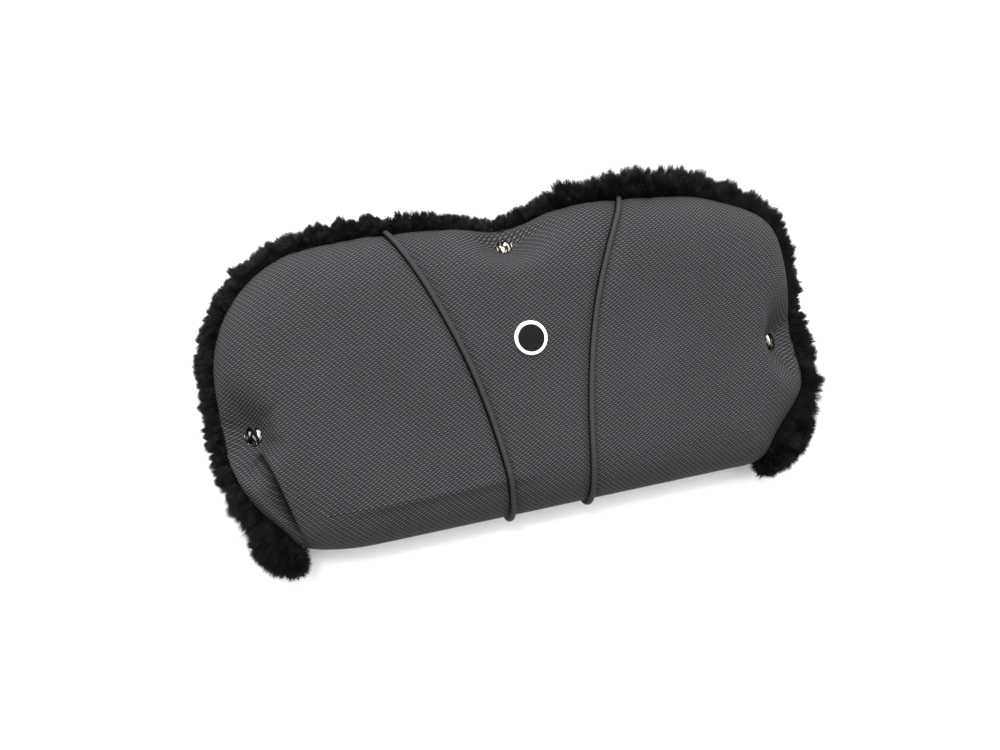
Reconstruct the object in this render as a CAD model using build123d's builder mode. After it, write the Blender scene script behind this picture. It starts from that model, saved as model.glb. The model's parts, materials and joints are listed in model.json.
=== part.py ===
from build123d import *
import os
from math import cos, radians, sin, tan

# Hand warmer muff: a padded two-lobed sheet, folded once over a handlebar and held by three snaps.
# Millimetres. +Z up, +X along the fold, +Y from the fold towards the two lobes.
# The origin is on the surface the muff rests on, below the middle of its box.

# Overall size
SHELL_HALF_WIDTH = 247.0
FOLD_HALF_LENGTH = 194.0
LOBE_REACH = 241.5
ROUNDED_LOBE_REACH = 240.3
DIP_REACH = 228.0
HALF_THICKNESS = 34.0
EDGE_ROUND = 28.0
PARTING_GAP = 0.15

# Layers
SHELL_THICKNESS = 1.2
WADDING_THICKNESS = 7.8
FUR_STANDOUT = 20.0
FUR_RIM_HEIGHT = 18.0
FUR_RIM_ROUND = 9.0
PINCHED_WADDING = 2.4

# Frame: the piping reaches furthest to -Y, the fur of the lobes furthest to +Y
PIPING_STANDOUT = 2.5
HINGE_MARGIN = 0.5
FOLD_Y = -(ROUNDED_LOBE_REACH + FUR_STANDOUT - PIPING_STANDOUT) / 2
HINGE_Y = FOLD_Y - PIPING_STANDOUT - HINGE_MARGIN
MID_Z = HALF_THICKNESS

# Handlebar channel and hand pockets
CHANNEL_RADIUS = 17.0
CHANNEL_Y = FOLD_Y + SHELL_THICKNESS + WADDING_THICKNESS + 3.0 + CHANNEL_RADIUS
FOLD_WALL_HALF_LENGTH = 176.0
FOLD_WALL_DEPTH = 30.0
POCKET_INNER_X = 34.0
POCKET_OUTER_X = 178.0
POCKET_HALF_HEIGHT = 12.0
POCKET_CORNER = 11.0
POCKET_LENGTH = 300.0

# Piping between the three panels
PIPING_WIDTH = 5.5
PIPING_SINK = 2.0
CORD_WIDTH = 2.8
CORD_OUT = 1.4
CORD_IN = 1.2
PIPING_MID_REACH = 112.0
PIPING_FOLD_X = 34.0
PIPING_MID_X = 49.0
PIPING_TOP_X = 105.0
PIPING_OVERRUN = 12.0

# Snap fasteners, measured along each snap's own leaning axis from the parting plane
SIDE_SNAP_X = 220.0
SIDE_SNAP_REACH = 101.0
CENTRE_SNAP_REACH = 213.0
SNAP_LEAN = 32.0
CAP_RADIUS = 7.5
CAP_HEIGHT = 3.4
POST_RADIUS = 7.0
POST_HEIGHT = 2.0
PATCH_RADIUS = 8.4
PATCH_THICKNESS = 2.0
PATCH_CLEARANCE = 0.6
SOCKET_RADIUS = 6.2
SOCKET_MOUTH = 0.4
SOCKET_TOP = 4.4
SOCKET_BORE = 2.45
SOCKET_LIP = 3.25
STUD_FLANGE_RADIUS = 6.0
STUD_FLANGE_THICKNESS = 1.0
STUD_NECK_RADIUS = 1.5
STUD_HEAD_RADIUS = 2.1
STUD_HEAD_HEIGHT = 1.9
STUD_TIP = 3.0
SHANK_RADIUS = 1.8
SPRING_RING_RADIUS = 3.3
SPRING_WIRE_RADIUS = 0.25
SPRING_HEIGHT = 1.1
FRONT_WELL_HALF_ANGLE = 55.0
BACK_WELL_HALF_ANGLE = 30.0
WELL_TOP = 60.0
STEM_BELOW = 12.0
STEM_ABOVE = 15.0

# Badge on the centre panel
BADGE_REACH = 138.5
BADGE_RADIUS = 14.0
BADGE_THICKNESS = 2.0
BADGE_RIM = 3.0
BADGE_RECESS = 1.0
BADGE_POST_X = 7.0
BADGE_POST_RADIUS = 1.25
BADGE_POST_LENGTH = 4.4
PUSH_NUT_RADIUS = 4.0
PUSH_NUT_THICKNESS = 0.8

# Larger than the muff in every direction, for cutting
FAR = 400.0

SIDES = {"left": -1, "right": 1}
SNAPS = {
    "left": (Vector(-SIDE_SNAP_X, FOLD_Y + SIDE_SNAP_REACH, MID_Z), Vector(-1, 0, 0)),
    "centre": (Vector(0, FOLD_Y + CENTRE_SNAP_REACH, MID_Z), Vector(0, 1, 0)),
    "right": (Vector(SIDE_SNAP_X, FOLD_Y + SIDE_SNAP_REACH, MID_Z), Vector(1, 0, 0)),
}


def outline(plane, grow):
    """Sketch of the two-lobed outline on a plane, grown outwards or shrunk."""
    # corner x, corner reach from the fold, corner radius
    right_corners = [
        (FOLD_HALF_LENGTH, 0.0, 36.0),
        (SHELL_HALF_WIDTH, 64.0, 100.0),
        (SHELL_HALF_WIDTH, LOBE_REACH - 7.0, 100.0),
        (105.0, LOBE_REACH, 200.0),
    ]
    dip = (0.0, DIP_REACH, 120.0)
    left_corners = [(-x, reach, r) for x, reach, r in reversed(right_corners)]
    corners = right_corners + [dip] + left_corners
    with BuildSketch(plane) as sketch:
        with BuildLine():
            FilletPolyline(
                [(x, FOLD_Y + reach) for x, reach, r in corners],
                radius=[r for x, reach, r in corners],
                close=True,
            )
        make_face()
        if grow:
            offset(amount=grow, kind=Kind.ARC)
    return sketch.sketch


def half_block(side, grow, height, rounding):
    """Solid block of one half, from the parting plane outwards, with its outer edge rounded."""
    with BuildPart() as block:
        add(outline(Plane.XY.offset(MID_Z + side * PARTING_GAP), grow))
        extrude(amount=side * (height - PARTING_GAP))
        outer_face = block.faces().sort_by(Axis.Z)[-1 if side > 0 else 0]
        fillet(outer_face.edges(), rounding)
    return block.part


def slab(x_low, x_high, y_low, y_high, side, h_low, h_high):
    """Box on one side of the parting plane, with its heights measured from that plane."""
    with BuildPart() as box:
        with BuildSketch(Plane.XY.offset(MID_Z + side * h_low)):
            with Locations(((x_low + x_high) / 2, (y_low + y_high) / 2)):
                Rectangle(x_high - x_low, y_high - y_low)
        extrude(amount=side * (h_high - h_low))
    return box.part


def other_side(hand):
    """Everything on the other side of the muff's middle plane."""
    x_low, x_high = (-FAR, 0) if hand > 0 else (0, FAR)
    return slab(x_low, x_high, -FAR, FAR, 1, -FAR, FAR)


def fold_wall(side, height):
    """Room taken by the shell and wadding where they wrap round the fold."""
    half = FOLD_WALL_HALF_LENGTH
    return slab(-half, half, -FAR, FOLD_Y + FOLD_WALL_DEPTH, side, -FAR, height)


def piping_strip(hand, width):
    """Tall strip that follows one piping line in plan."""
    y_low = FOLD_Y - PIPING_OVERRUN
    y_mid = FOLD_Y + PIPING_MID_REACH
    y_high = FOLD_Y + LOBE_REACH + PIPING_OVERRUN
    half = width / 2
    with BuildPart() as strip:
        with BuildSketch(Plane.XY.offset(-FAR / 2)):
            with BuildLine():
                inner = ThreePointArc(
                    (hand * PIPING_FOLD_X - half, y_low),
                    (hand * PIPING_MID_X - half, y_mid),
                    (hand * PIPING_TOP_X - half, y_high),
                )
                outer = ThreePointArc(
                    (hand * PIPING_FOLD_X + half, y_low),
                    (hand * PIPING_MID_X + half, y_mid),
                    (hand * PIPING_TOP_X + half, y_high),
                )
                Line(inner @ 0, outer @ 0)
                Line(inner @ 1, outer @ 1)
            make_face()
        extrude(amount=FAR)
    return strip.part


def centre_region():
    """Tall solid between the two piping lines."""
    y_low = FOLD_Y - PIPING_OVERRUN
    y_mid = FOLD_Y + PIPING_MID_REACH
    y_high = FOLD_Y + LOBE_REACH + PIPING_OVERRUN
    with BuildPart() as region:
        with BuildSketch(Plane.XY.offset(-FAR / 2)):
            with BuildLine():
                left = ThreePointArc(
                    (-PIPING_FOLD_X, y_low), (-PIPING_MID_X, y_mid), (-PIPING_TOP_X, y_high)
                )
                right = ThreePointArc(
                    (PIPING_FOLD_X, y_low), (PIPING_MID_X, y_mid), (PIPING_TOP_X, y_high)
                )
                Line(left @ 0, right @ 0)
                Line(left @ 1, right @ 1)
            make_face()
        extrude(amount=FAR)
    return region.part


def snap_axis(snap):
    """Axis of one snap, leaning outwards, with positive heights on the front half."""
    point, lean = SNAPS[snap]
    direction = lean * sin(radians(SNAP_LEAN)) + Vector(0, 0, cos(radians(SNAP_LEAN)))
    return Axis(point, direction)


def turned(snap, side, profile):
    """Solid turned round a snap's axis from a closed profile of (radius, height) points."""
    axis = snap_axis(snap)
    lean = SNAPS[snap][1]
    across = Vector(0, 0, 1).cross(lean)
    section = Plane(origin=axis.position, x_dir=across, z_dir=across.cross(axis.direction))
    with BuildPart() as piece:
        with BuildSketch(section):
            with BuildLine():
                Polyline([(r, side * h) for r, h in profile], close=True)
            make_face()
        revolve(axis=axis)
    return piece.part


def well(snap, side, depth):
    """Cone that pinches the layers of one half down to a snap; depth sinks it below the shell's skin."""
    floor = SOCKET_TOP + PATCH_THICKNESS if side > 0 else patch_outer_back()
    half_angle = radians(FRONT_WELL_HALF_ANGLE if side > 0 else BACK_WELL_HALF_ANGLE)
    slope = tan(half_angle)
    drop = depth / sin(half_angle)
    floor_radius = PATCH_RADIUS + drop * slope
    top_radius = floor_radius + (WELL_TOP - floor) * slope
    profile = [(0, floor), (floor_radius, floor), (top_radius, WELL_TOP), (0, WELL_TOP)]
    return turned(snap, side, profile)


def patch_outer_back():
    """Height of the back patch's outer face above the stud's flange side."""
    return SOCKET_MOUTH + STUD_FLANGE_THICKNESS + PATCH_THICKNESS


def well_stem(snap, side):
    """Room through the soft layers for a snap's own metal and patch, and for the other half's."""
    own = patch_outer_back() - PATCH_THICKNESS if side < 0 else SOCKET_TOP
    loose = PATCH_RADIUS + PATCH_CLEARANCE
    profile = [
        (0, -STEM_BELOW),
        (loose, -STEM_BELOW),
        (loose, own),
        (PATCH_RADIUS, own),
        (PATCH_RADIUS, STEM_ABOVE),
        (0, STEM_ABOVE),
    ]
    return turned(snap, side, profile)


def low_zone(side):
    """Everything nearer the parting plane than the fur rim, apart from the wall along the fold."""
    with BuildPart() as zone:
        add(slab(-FAR, FAR, -FAR, FAR, side, -FAR, FUR_RIM_HEIGHT))
        add(fold_wall(side, FUR_RIM_HEIGHT), mode=Mode.SUBTRACT)
    return zone.part


def layer(side, outer, inner, outer_depth, inner_depth):
    """One soft layer between two blocks, pinched round the snaps and trimmed at the fur rim."""
    zone = low_zone(side)
    with BuildPart() as hollowed:
        add(inner)
        for snap in SNAPS:
            add(well(snap, side, inner_depth), mode=Mode.SUBTRACT)
    with BuildPart() as cups:
        for snap in SNAPS:
            add(well(snap, side, inner_depth))
        add(zone, mode=Mode.INTERSECT)
        add(outer, mode=Mode.INTERSECT)
        for snap in SNAPS:
            add(well(snap, side, outer_depth), mode=Mode.SUBTRACT)
    with BuildPart() as sheet:
        add(outer)
        for snap in SNAPS:
            add(well(snap, side, outer_depth), mode=Mode.SUBTRACT)
        add(hollowed.part, mode=Mode.SUBTRACT)
        add(zone, mode=Mode.SUBTRACT)
        add(cups.part)
        for snap in SNAPS:
            add(well_stem(snap, side), mode=Mode.SUBTRACT)
    return sheet.part


def piping_band(side, hand, width, out, sink):
    """Length of piping that wraps one half, standing out of the shell by out and sunk in by sink."""
    # on the back half the resting face presses the piping flush
    flush = PIPING_STANDOUT if side < 0 else 0.0
    with BuildPart() as band:
        add(half_block(side, out, HALF_THICKNESS + out - flush, EDGE_ROUND + out))
        add(half_block(side, -sink, HALF_THICKNESS - sink - flush, EDGE_ROUND - sink), mode=Mode.SUBTRACT)
        add(piping_strip(hand, width), mode=Mode.INTERSECT)
        add(low_zone(side), mode=Mode.SUBTRACT)
    return band.part


def fur_lining(side, inner_block):
    """Faux fur lining of one half, with its thick rim, half the channel and half of each pocket."""
    with BuildPart() as lining:
        add(half_block(side, FUR_STANDOUT, FUR_RIM_HEIGHT, FUR_RIM_ROUND))
        add(slab(-FAR, FAR, -FAR, HINGE_Y + HINGE_MARGIN, side, -FAR, FAR), mode=Mode.SUBTRACT)
        add(fold_wall(side, FAR), mode=Mode.SUBTRACT)
        add(inner_block)
        for snap in SNAPS:
            depth = SHELL_THICKNESS + PINCHED_WADDING
            add(well(snap, side, depth), mode=Mode.SUBTRACT)
            add(well_stem(snap, side), mode=Mode.SUBTRACT)
        with BuildSketch(Plane.YZ.offset(-FAR)):
            with Locations((CHANNEL_Y, MID_Z)):
                Circle(CHANNEL_RADIUS)
        extrude(amount=2 * FAR, mode=Mode.SUBTRACT)
        with BuildSketch(Plane.XY.offset(MID_Z)):
            for hand in SIDES.values():
                with Locations((hand * (POCKET_INNER_X + POCKET_OUTER_X) / 2, CHANNEL_Y)):
                    RectangleRounded(
                        POCKET_OUTER_X - POCKET_INNER_X,
                        POCKET_LENGTH,
                        POCKET_CORNER,
                        align=(Align.CENTER, Align.MIN),
                    )
        extrude(amount=side * POCKET_HALF_HEIGHT, mode=Mode.SUBTRACT)
    return lining.part


def save(part, name):
    """Label one finished piece and write its STEP file."""
    part.label = name
    export_step(part, f"parts/{name}.step")


def badge_posts(radius, top):
    """Two round posts under the badge, down from a height above the parting plane."""
    with BuildPart() as posts:
        with BuildSketch(Plane.XY.offset(MID_Z + top)):
            with Locations(*[(hand * BADGE_POST_X, FOLD_Y + BADGE_REACH) for hand in SIDES.values()]):
                Circle(radius)
        extrude(amount=-(top - HALF_THICKNESS + BADGE_POST_LENGTH))
    return posts.part


def push_nuts(hole, clearance):
    """Two push nuts on the badge's posts, under the shell fabric."""
    with BuildPart() as nuts:
        with BuildSketch(Plane.XY.offset(MID_Z + HALF_THICKNESS - SHELL_THICKNESS)):
            with Locations(*[(hand * BADGE_POST_X, FOLD_Y + BADGE_REACH) for hand in SIDES.values()]):
                Circle(PUSH_NUT_RADIUS + clearance)
                if hole:
                    Circle(hole, mode=Mode.SUBTRACT)
        extrude(amount=-(PUSH_NUT_THICKNESS + clearance))
    return nuts.part


def make_half(side, half):
    """Shell panels, piping, wadding and fur lining of the front (+1) or back (-1) half."""
    wadding_grow = -(SHELL_THICKNESS + WADDING_THICKNESS)
    shell_block = half_block(side, 0, HALF_THICKNESS, EDGE_ROUND)
    wadding_block = half_block(
        side, -SHELL_THICKNESS, HALF_THICKNESS - SHELL_THICKNESS, EDGE_ROUND - SHELL_THICKNESS
    )
    fur_block = half_block(side, wadding_grow, HALF_THICKNESS + wadding_grow, EDGE_ROUND + wadding_grow)
    pinched = SHELL_THICKNESS + PINCHED_WADDING

    shell = layer(side, shell_block, wadding_block, 0, SHELL_THICKNESS)
    wadding = layer(side, wadding_block, fur_block, SHELL_THICKNESS, pinched)
    lining = fur_lining(side, fur_block)
    covers = {
        hand: piping_band(side, SIDES[hand], PIPING_WIDTH, PIPING_STANDOUT, PIPING_SINK) for hand in SIDES
    }
    cords = {
        hand: piping_band(side, SIDES[hand], CORD_WIDTH, CORD_OUT, CORD_IN) for hand in SIDES
    }

    region = centre_region()
    for name, hand in (("left", -1), ("centre", 0), ("right", 1)):
        with BuildPart() as panel:
            add(shell)
            if hand:
                add(region, mode=Mode.SUBTRACT)
                add(other_side(hand), mode=Mode.SUBTRACT)
            else:
                add(region, mode=Mode.INTERSECT)
            for cover in covers.values():
                add(cover, mode=Mode.SUBTRACT)
            if side > 0 and not hand:
                add(badge_posts(BADGE_POST_RADIUS, HALF_THICKNESS + 1), mode=Mode.SUBTRACT)
        save(panel.part, f"{half}_shell_{name}")

    with BuildPart() as padding:
        add(wadding)
        for cover in covers.values():
            add(cover, mode=Mode.SUBTRACT)
        if side > 0:
            add(badge_posts(BADGE_POST_RADIUS + 0.2, HALF_THICKNESS + 1), mode=Mode.SUBTRACT)
            add(push_nuts(0, 0.1), mode=Mode.SUBTRACT)
    save(padding.part, f"{half}_wadding")
    save(lining, f"{half}_fur_lining")

    for hand in SIDES:
        with BuildPart() as cover:
            add(covers[hand])
            add(cords[hand], mode=Mode.SUBTRACT)
        save(cover.part, f"{half}_piping_cover_{hand}")
        save(cords[hand], f"{half}_piping_cord_{hand}")


def make_badge():
    """Plain round badge: a metal plate with a raised rim, its inlay and two push nuts."""
    centre = (0, FOLD_Y + BADGE_REACH)
    top = MID_Z + HALF_THICKNESS + BADGE_THICKNESS
    with BuildPart() as plate:
        with BuildSketch(Plane.XY.offset(MID_Z + HALF_THICKNESS)):
            with Locations(centre):
                Circle(BADGE_RADIUS)
        extrude(amount=BADGE_THICKNESS)
        fillet(plate.faces().sort_by(Axis.Z)[-1].edges(), 0.8)
        with BuildSketch(Plane.XY.offset(top)):
            with Locations(centre):
                Circle(BADGE_RADIUS - BADGE_RIM)
        extrude(amount=-BADGE_RECESS, mode=Mode.SUBTRACT)
        add(badge_posts(BADGE_POST_RADIUS - 0.05, HALF_THICKNESS + 0.5))
    save(plate.part, "badge_plate")
    with BuildPart() as inlay:
        with BuildSketch(Plane.XY.offset(top - BADGE_RECESS)):
            with Locations(centre):
                Circle(BADGE_RADIUS - BADGE_RIM)
        extrude(amount=BADGE_RECESS + 0.4)
        fillet(inlay.faces().sort_by(Axis.Z)[-1].edges(), 0.6)
    save(inlay.part, "badge_inlay")
    save(push_nuts(BADGE_POST_RADIUS - 0.05, 0), "badge_push_nuts")


def make_snaps():
    """Cap, socket and spring on the front half, stud and post on the back half, at three places."""
    back_patch_low = SOCKET_MOUTH + STUD_FLANGE_THICKNESS
    for snap in SNAPS:
        cap_base = SOCKET_TOP + PATCH_THICKNESS
        cap = turned(
            snap,
            1,
            [
                (0, SOCKET_TOP - 0.6),
                (SHANK_RADIUS, SOCKET_TOP - 0.6),
                (SHANK_RADIUS, cap_base),
                (CAP_RADIUS - 0.5, cap_base),
                (CAP_RADIUS, cap_base + 0.5),
                (CAP_RADIUS, cap_base + 1.1),
                (CAP_RADIUS - 0.5, cap_base + 1.6),
                (CAP_RADIUS - 1.1, cap_base + 1.5),
                (CAP_RADIUS - 1.6, cap_base + 1.9),
                (CAP_RADIUS - 3.2, cap_base + 2.9),
                (CAP_RADIUS - 5.0, cap_base + CAP_HEIGHT - 0.1),
                (0, cap_base + CAP_HEIGHT),
            ],
        )
        save(cap, f"snap_cap_{snap}")

        socket = turned(
            snap,
            1,
            [
                (SOCKET_LIP, SOCKET_MOUTH),
                (SOCKET_RADIUS - 0.4, SOCKET_MOUTH),
                (SOCKET_RADIUS, SOCKET_MOUTH + 0.6),
                (SOCKET_RADIUS, SOCKET_TOP),
                (SHANK_RADIUS, SOCKET_TOP),
                (SHANK_RADIUS, SOCKET_TOP - 0.6),
                (0, SOCKET_TOP - 0.6),
                (0, SOCKET_TOP - 1.0),
                (SOCKET_BORE, SOCKET_TOP - 1.0),
                (SOCKET_BORE, SPRING_HEIGHT + 0.9),
                (SOCKET_BORE + 0.45, SPRING_HEIGHT + 0.3),
                (SPRING_RING_RADIUS + 0.35, SPRING_HEIGHT + 0.3),
                (SPRING_RING_RADIUS + 0.35, SPRING_HEIGHT - 0.3),
                (SOCKET_LIP, SPRING_HEIGHT - 0.3),
            ],
        )
        save(socket, f"snap_socket_{snap}")

        axis = snap_axis(snap)
        across = Vector(0, 0, 1).cross(SNAPS[snap][1])
        section = Plane(origin=axis.position, x_dir=across, z_dir=across.cross(axis.direction))
        with BuildPart() as spring:
            with BuildSketch(section):
                with Locations((SPRING_RING_RADIUS, SPRING_HEIGHT)):
                    Circle(SPRING_WIRE_RADIUS)
            revolve(axis=axis)
        save(spring.part, f"snap_spring_{snap}")

        stud = turned(
            snap,
            1,
            [
                (0, -back_patch_low + 0.5),
                (SHANK_RADIUS, -back_patch_low + 0.5),
                (SHANK_RADIUS, -back_patch_low),
                (STUD_FLANGE_RADIUS, -back_patch_low),
                (STUD_FLANGE_RADIUS, -SOCKET_MOUTH - 0.3),
                (STUD_FLANGE_RADIUS - 0.4, -SOCKET_MOUTH),
                (STUD_NECK_RADIUS + 0.4, -SOCKET_MOUTH),
                (STUD_NECK_RADIUS, 0.0),
                (STUD_NECK_RADIUS, STUD_HEAD_HEIGHT - 0.8),
                (STUD_HEAD_RADIUS, STUD_HEAD_HEIGHT - 0.1),
                (STUD_HEAD_RADIUS, STUD_HEAD_HEIGHT + 0.3),
                (STUD_HEAD_RADIUS - 0.9, STUD_TIP),
                (0, STUD_TIP),
            ],
        )
        save(stud, f"snap_stud_{snap}")

        post_base = back_patch_low + PATCH_THICKNESS
        post = turned(
            snap,
            -1,
            [
                (0, back_patch_low - 0.5),
                (SHANK_RADIUS, back_patch_low - 0.5),
                (SHANK_RADIUS, post_base),
                (POST_RADIUS - 0.4, post_base),
                (POST_RADIUS, post_base + 0.5),
                (POST_RADIUS - 0.4, post_base + 1.0),
                (POST_RADIUS - 2.5, post_base + POST_HEIGHT - 0.3),
                (0, post_base + POST_HEIGHT),
            ],
        )
        save(post, f"snap_post_{snap}")

        front_patch = turned(
            snap,
            1,
            [
                (SHANK_RADIUS, SOCKET_TOP),
                (PATCH_RADIUS, SOCKET_TOP),
                (PATCH_RADIUS, cap_base),
                (SHANK_RADIUS, cap_base),
            ],
        )
        save(front_patch, f"front_snap_patch_{snap}")
        back_patch = turned(
            snap,
            -1,
            [
                (SHANK_RADIUS, back_patch_low),
                (PATCH_RADIUS, back_patch_low),
                (PATCH_RADIUS, post_base),
                (SHANK_RADIUS, post_base),
            ],
        )
        save(back_patch, f"back_snap_patch_{snap}")


os.makedirs("parts", exist_ok=True)
make_half(1, "front")
make_half(-1, "back")
make_badge()
make_snaps()
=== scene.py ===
import json
import math

import bpy
import numpy as np
from mathutils import Matrix, Vector


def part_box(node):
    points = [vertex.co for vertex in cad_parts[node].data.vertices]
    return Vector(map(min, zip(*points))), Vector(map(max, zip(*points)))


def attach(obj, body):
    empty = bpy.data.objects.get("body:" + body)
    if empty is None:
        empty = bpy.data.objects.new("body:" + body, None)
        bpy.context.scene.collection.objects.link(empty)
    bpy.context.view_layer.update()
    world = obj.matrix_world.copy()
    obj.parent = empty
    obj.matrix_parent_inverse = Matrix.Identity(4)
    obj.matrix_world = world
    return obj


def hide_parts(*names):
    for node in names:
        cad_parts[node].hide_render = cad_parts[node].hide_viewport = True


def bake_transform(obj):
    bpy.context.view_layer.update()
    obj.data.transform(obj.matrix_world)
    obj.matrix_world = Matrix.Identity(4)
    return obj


# Hand warmer muff: a padded two-lobed sheet folded once over a handlebar, held by three snaps.
# Metres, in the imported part's frame: +X along the fold, +Y towards the lobes, +Z up.

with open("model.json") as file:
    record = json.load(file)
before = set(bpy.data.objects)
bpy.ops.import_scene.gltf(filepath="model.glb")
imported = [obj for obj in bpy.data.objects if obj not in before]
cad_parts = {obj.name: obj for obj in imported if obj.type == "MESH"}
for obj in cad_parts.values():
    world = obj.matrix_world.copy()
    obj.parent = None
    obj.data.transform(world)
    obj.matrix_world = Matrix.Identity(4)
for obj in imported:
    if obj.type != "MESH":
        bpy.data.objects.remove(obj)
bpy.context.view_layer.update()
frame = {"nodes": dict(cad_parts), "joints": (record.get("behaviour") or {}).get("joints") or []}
rng = np.random.default_rng(11)

BACK, FRONT = "back_half", "front_half"
PANELS = ("left", "centre", "right")

# ---------------------------------------------------------------- values from the frame

hinge = Vector(frame["joints"][0]["pos_m"])
MID_Z = hinge.z
HALF_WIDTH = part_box("front_shell_right")[1].x
FOLD_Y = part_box("front_shell_centre")[0].y
TOP_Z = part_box("front_shell_centre")[1].z
HALF_THICKNESS = TOP_Z - MID_Z
SHELL_THICKNESS = 0.0012
WADDING_THICKNESS = 0.0078

# Outline of the shell in plan: corner x, corner reach from the fold, corner radius
RIGHT_CORNERS = [
    (0.194, 0.000, 0.036),
    (HALF_WIDTH, 0.064, 0.100),
    (HALF_WIDTH, 0.2345, 0.100),
    (0.105, 0.2415, 0.200),
]
DIP_CORNER = (0.0, 0.228, 0.120)

# Piping line of the right side: x and reach at the fold, middle and lobe
PIPING_POINTS = [(0.034, -0.012), (0.049, 0.112), (0.105, 0.2535)]
PIPING_RADIUS = 0.0029
CORD_RADIUS = 0.0013
RIB_SLANT = 0.0024

# Padding profile: how far in from the edge it is still rising, and how full it is
EDGE_DEPTH = 0.060
FULLNESS = 2.4
INNER_DEPTH = 0.030
HEM_HEIGHT = 0.009
PART_Z = MID_Z + 0.0005

BADGE_REACH = 0.1385

# Snaps: plan position from the fold, the way each leans, and the cloth's height at the cap
SNAP_LEAN = math.radians(32)
SNAPS = {
    "left": ((-0.220, 0.101), (-1, 0)),
    "centre": ((0.000, 0.213), (0, 1)),
    "right": ((0.220, 0.101), (1, 0)),
}
PATCH_RADIUS = 0.0084
FRONT_FLOOR = 0.0064
BACK_FLOOR = 0.0034
FRONT_SLOPE = 0.66
BACK_SLOPE = 1.7

# Handlebar channel and hand pockets inside
CHANNEL_RADIUS = 0.017
CHANNEL_Y = FOLD_Y + SHELL_THICKNESS + WADDING_THICKNESS + 0.003 + CHANNEL_RADIUS
POCKET_X = (0.034, 0.178)
POCKET_HEIGHT = 0.012

# Pile: strands in each piece of fur, and the tufts at the fold's ends (x, reach, radii, turn)
RIM_PIECES = 5
RIM_STRANDS = 13000
INNER_STRANDS = 12500
TUFT_STRANDS = 9000
FOLD_TUFTS = {
    "left": (-0.2190, 0.0085, (0.021, 0.0100, 0.012), -44),
    "right": (0.2230, 0.0110, (0.032, 0.0115, 0.014), 34),
}

# How far the pile stands out from the shell's outline, by direction seen from the muff's middle
PILE_REACH = [
    (-166, 0.013), (-156, 0.023), (-148, 0.031), (-38, 0.031), (-20, 0.026),
    (0, 0.016), (18, 0.018), (30, 0.024), (45, 0.025), (70, 0.018),
    (90, 0.012), (110, 0.014), (135, 0.017), (160, 0.014), (180, 0.0125),
]

# Grid counts: centre panel, side panel, rows from fold to lobe, rings round the edge
N_CENTRE = 32
N_SIDE = 42
N_ROWS = 60
N_RINGS = 14
N_ACROSS = N_CENTRE + 2 * N_SIDE


# ---------------------------------------------------------------- plan of the muff

def rounded_outline():
    """Dense outline, anticlockwise from the middle of the fold: points, outward normals, lengths."""
    left = [(-x, reach, r) for x, reach, r in reversed(RIGHT_CORNERS)]
    corners = RIGHT_CORNERS + [DIP_CORNER] + left
    ends = [np.array([x, FOLD_Y + reach]) for x, reach, r in corners]
    radii = [r for x, reach, r in corners]
    points, normals = [np.array([0.0, FOLD_Y])], [np.array([0.0, -1.0])]
    for k, (corner, radius) in enumerate(zip(ends, radii)):
        before = corner - ends[k - 1]
        after = ends[(k + 1) % len(ends)] - corner
        before /= np.linalg.norm(before)
        after /= np.linalg.norm(after)
        turn = math.atan2(before[0] * after[1] - before[1] * after[0], before @ after)
        side = math.copysign(1, turn)
        start = corner - before * radius * math.tan(abs(turn) / 2)
        centre = start + side * radius * np.array([-before[1], before[0]])
        straight = np.linalg.norm(start - points[-1])
        for s in np.arange(0.002, straight, 0.002):
            points.append(points[-1] + 0.002 * before)
            normals.append(np.array([before[1], -before[0]]))
        for share in np.linspace(0, 1, 24):
            c, s = math.cos(turn * share), math.sin(turn * share)
            spoke = start - centre
            spoke = np.array([c * spoke[0] - s * spoke[1], s * spoke[0] + c * spoke[1]])
            points.append(centre + spoke)
            normals.append(side * spoke / radius)
    points.append(points[0])
    normals.append(normals[0])
    points, normals = np.array(points), np.array(normals)
    steps = np.linalg.norm(np.diff(points, axis=0), axis=1)
    return points, normals, np.concatenate([[0], np.cumsum(steps)])


OUT_POINTS, OUT_NORMALS, OUT_LENGTHS = rounded_outline()
OUT_TOTAL = OUT_LENGTHS[-1]


def on_outline(t, inset):
    """Plan points at outline lengths t, moved inwards by inset."""
    t = np.mod(t, OUT_TOTAL)
    point = [np.interp(t, OUT_LENGTHS, OUT_POINTS[:, k]) for k in (0, 1)]
    normal = outline_normal(t)
    return np.stack(point, -1) - normal * np.reshape(inset, (-1, 1))


def outline_normal(t):
    """Outward normals at outline lengths t."""
    t = np.mod(t, OUT_TOTAL)
    normal = np.stack([np.interp(t, OUT_LENGTHS, OUT_NORMALS[:, k]) for k in (0, 1)], -1)
    return normal / np.linalg.norm(normal, axis=-1, keepdims=True)


def outline_distance(plan):
    """Distance from plan points to the outline, positive inside."""
    flat = plan.reshape(-1, 2)
    nearest = np.full(len(flat), 1.0)
    for k in range(0, len(OUT_POINTS), 64):
        gap = flat[:, None] - OUT_POINTS[None, k:k + 64]
        nearest = np.minimum(nearest, np.sqrt((gap ** 2).sum(-1)).min(1))
    return nearest.reshape(plan.shape[:-1])


def circle_through(points):
    """Centre and radius of the circle through three plan points."""
    (ax, ay), (bx, by), (cx, cy) = points
    rows = np.array([[bx - ax, by - ay], [cx - bx, cy - by]])
    sides = np.array([bx**2 - ax**2 + by**2 - ay**2, cx**2 - bx**2 + cy**2 - by**2]) / 2
    centre = np.linalg.solve(rows, sides)
    return centre, math.hypot(ax - centre[0], ay - centre[1])


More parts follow.
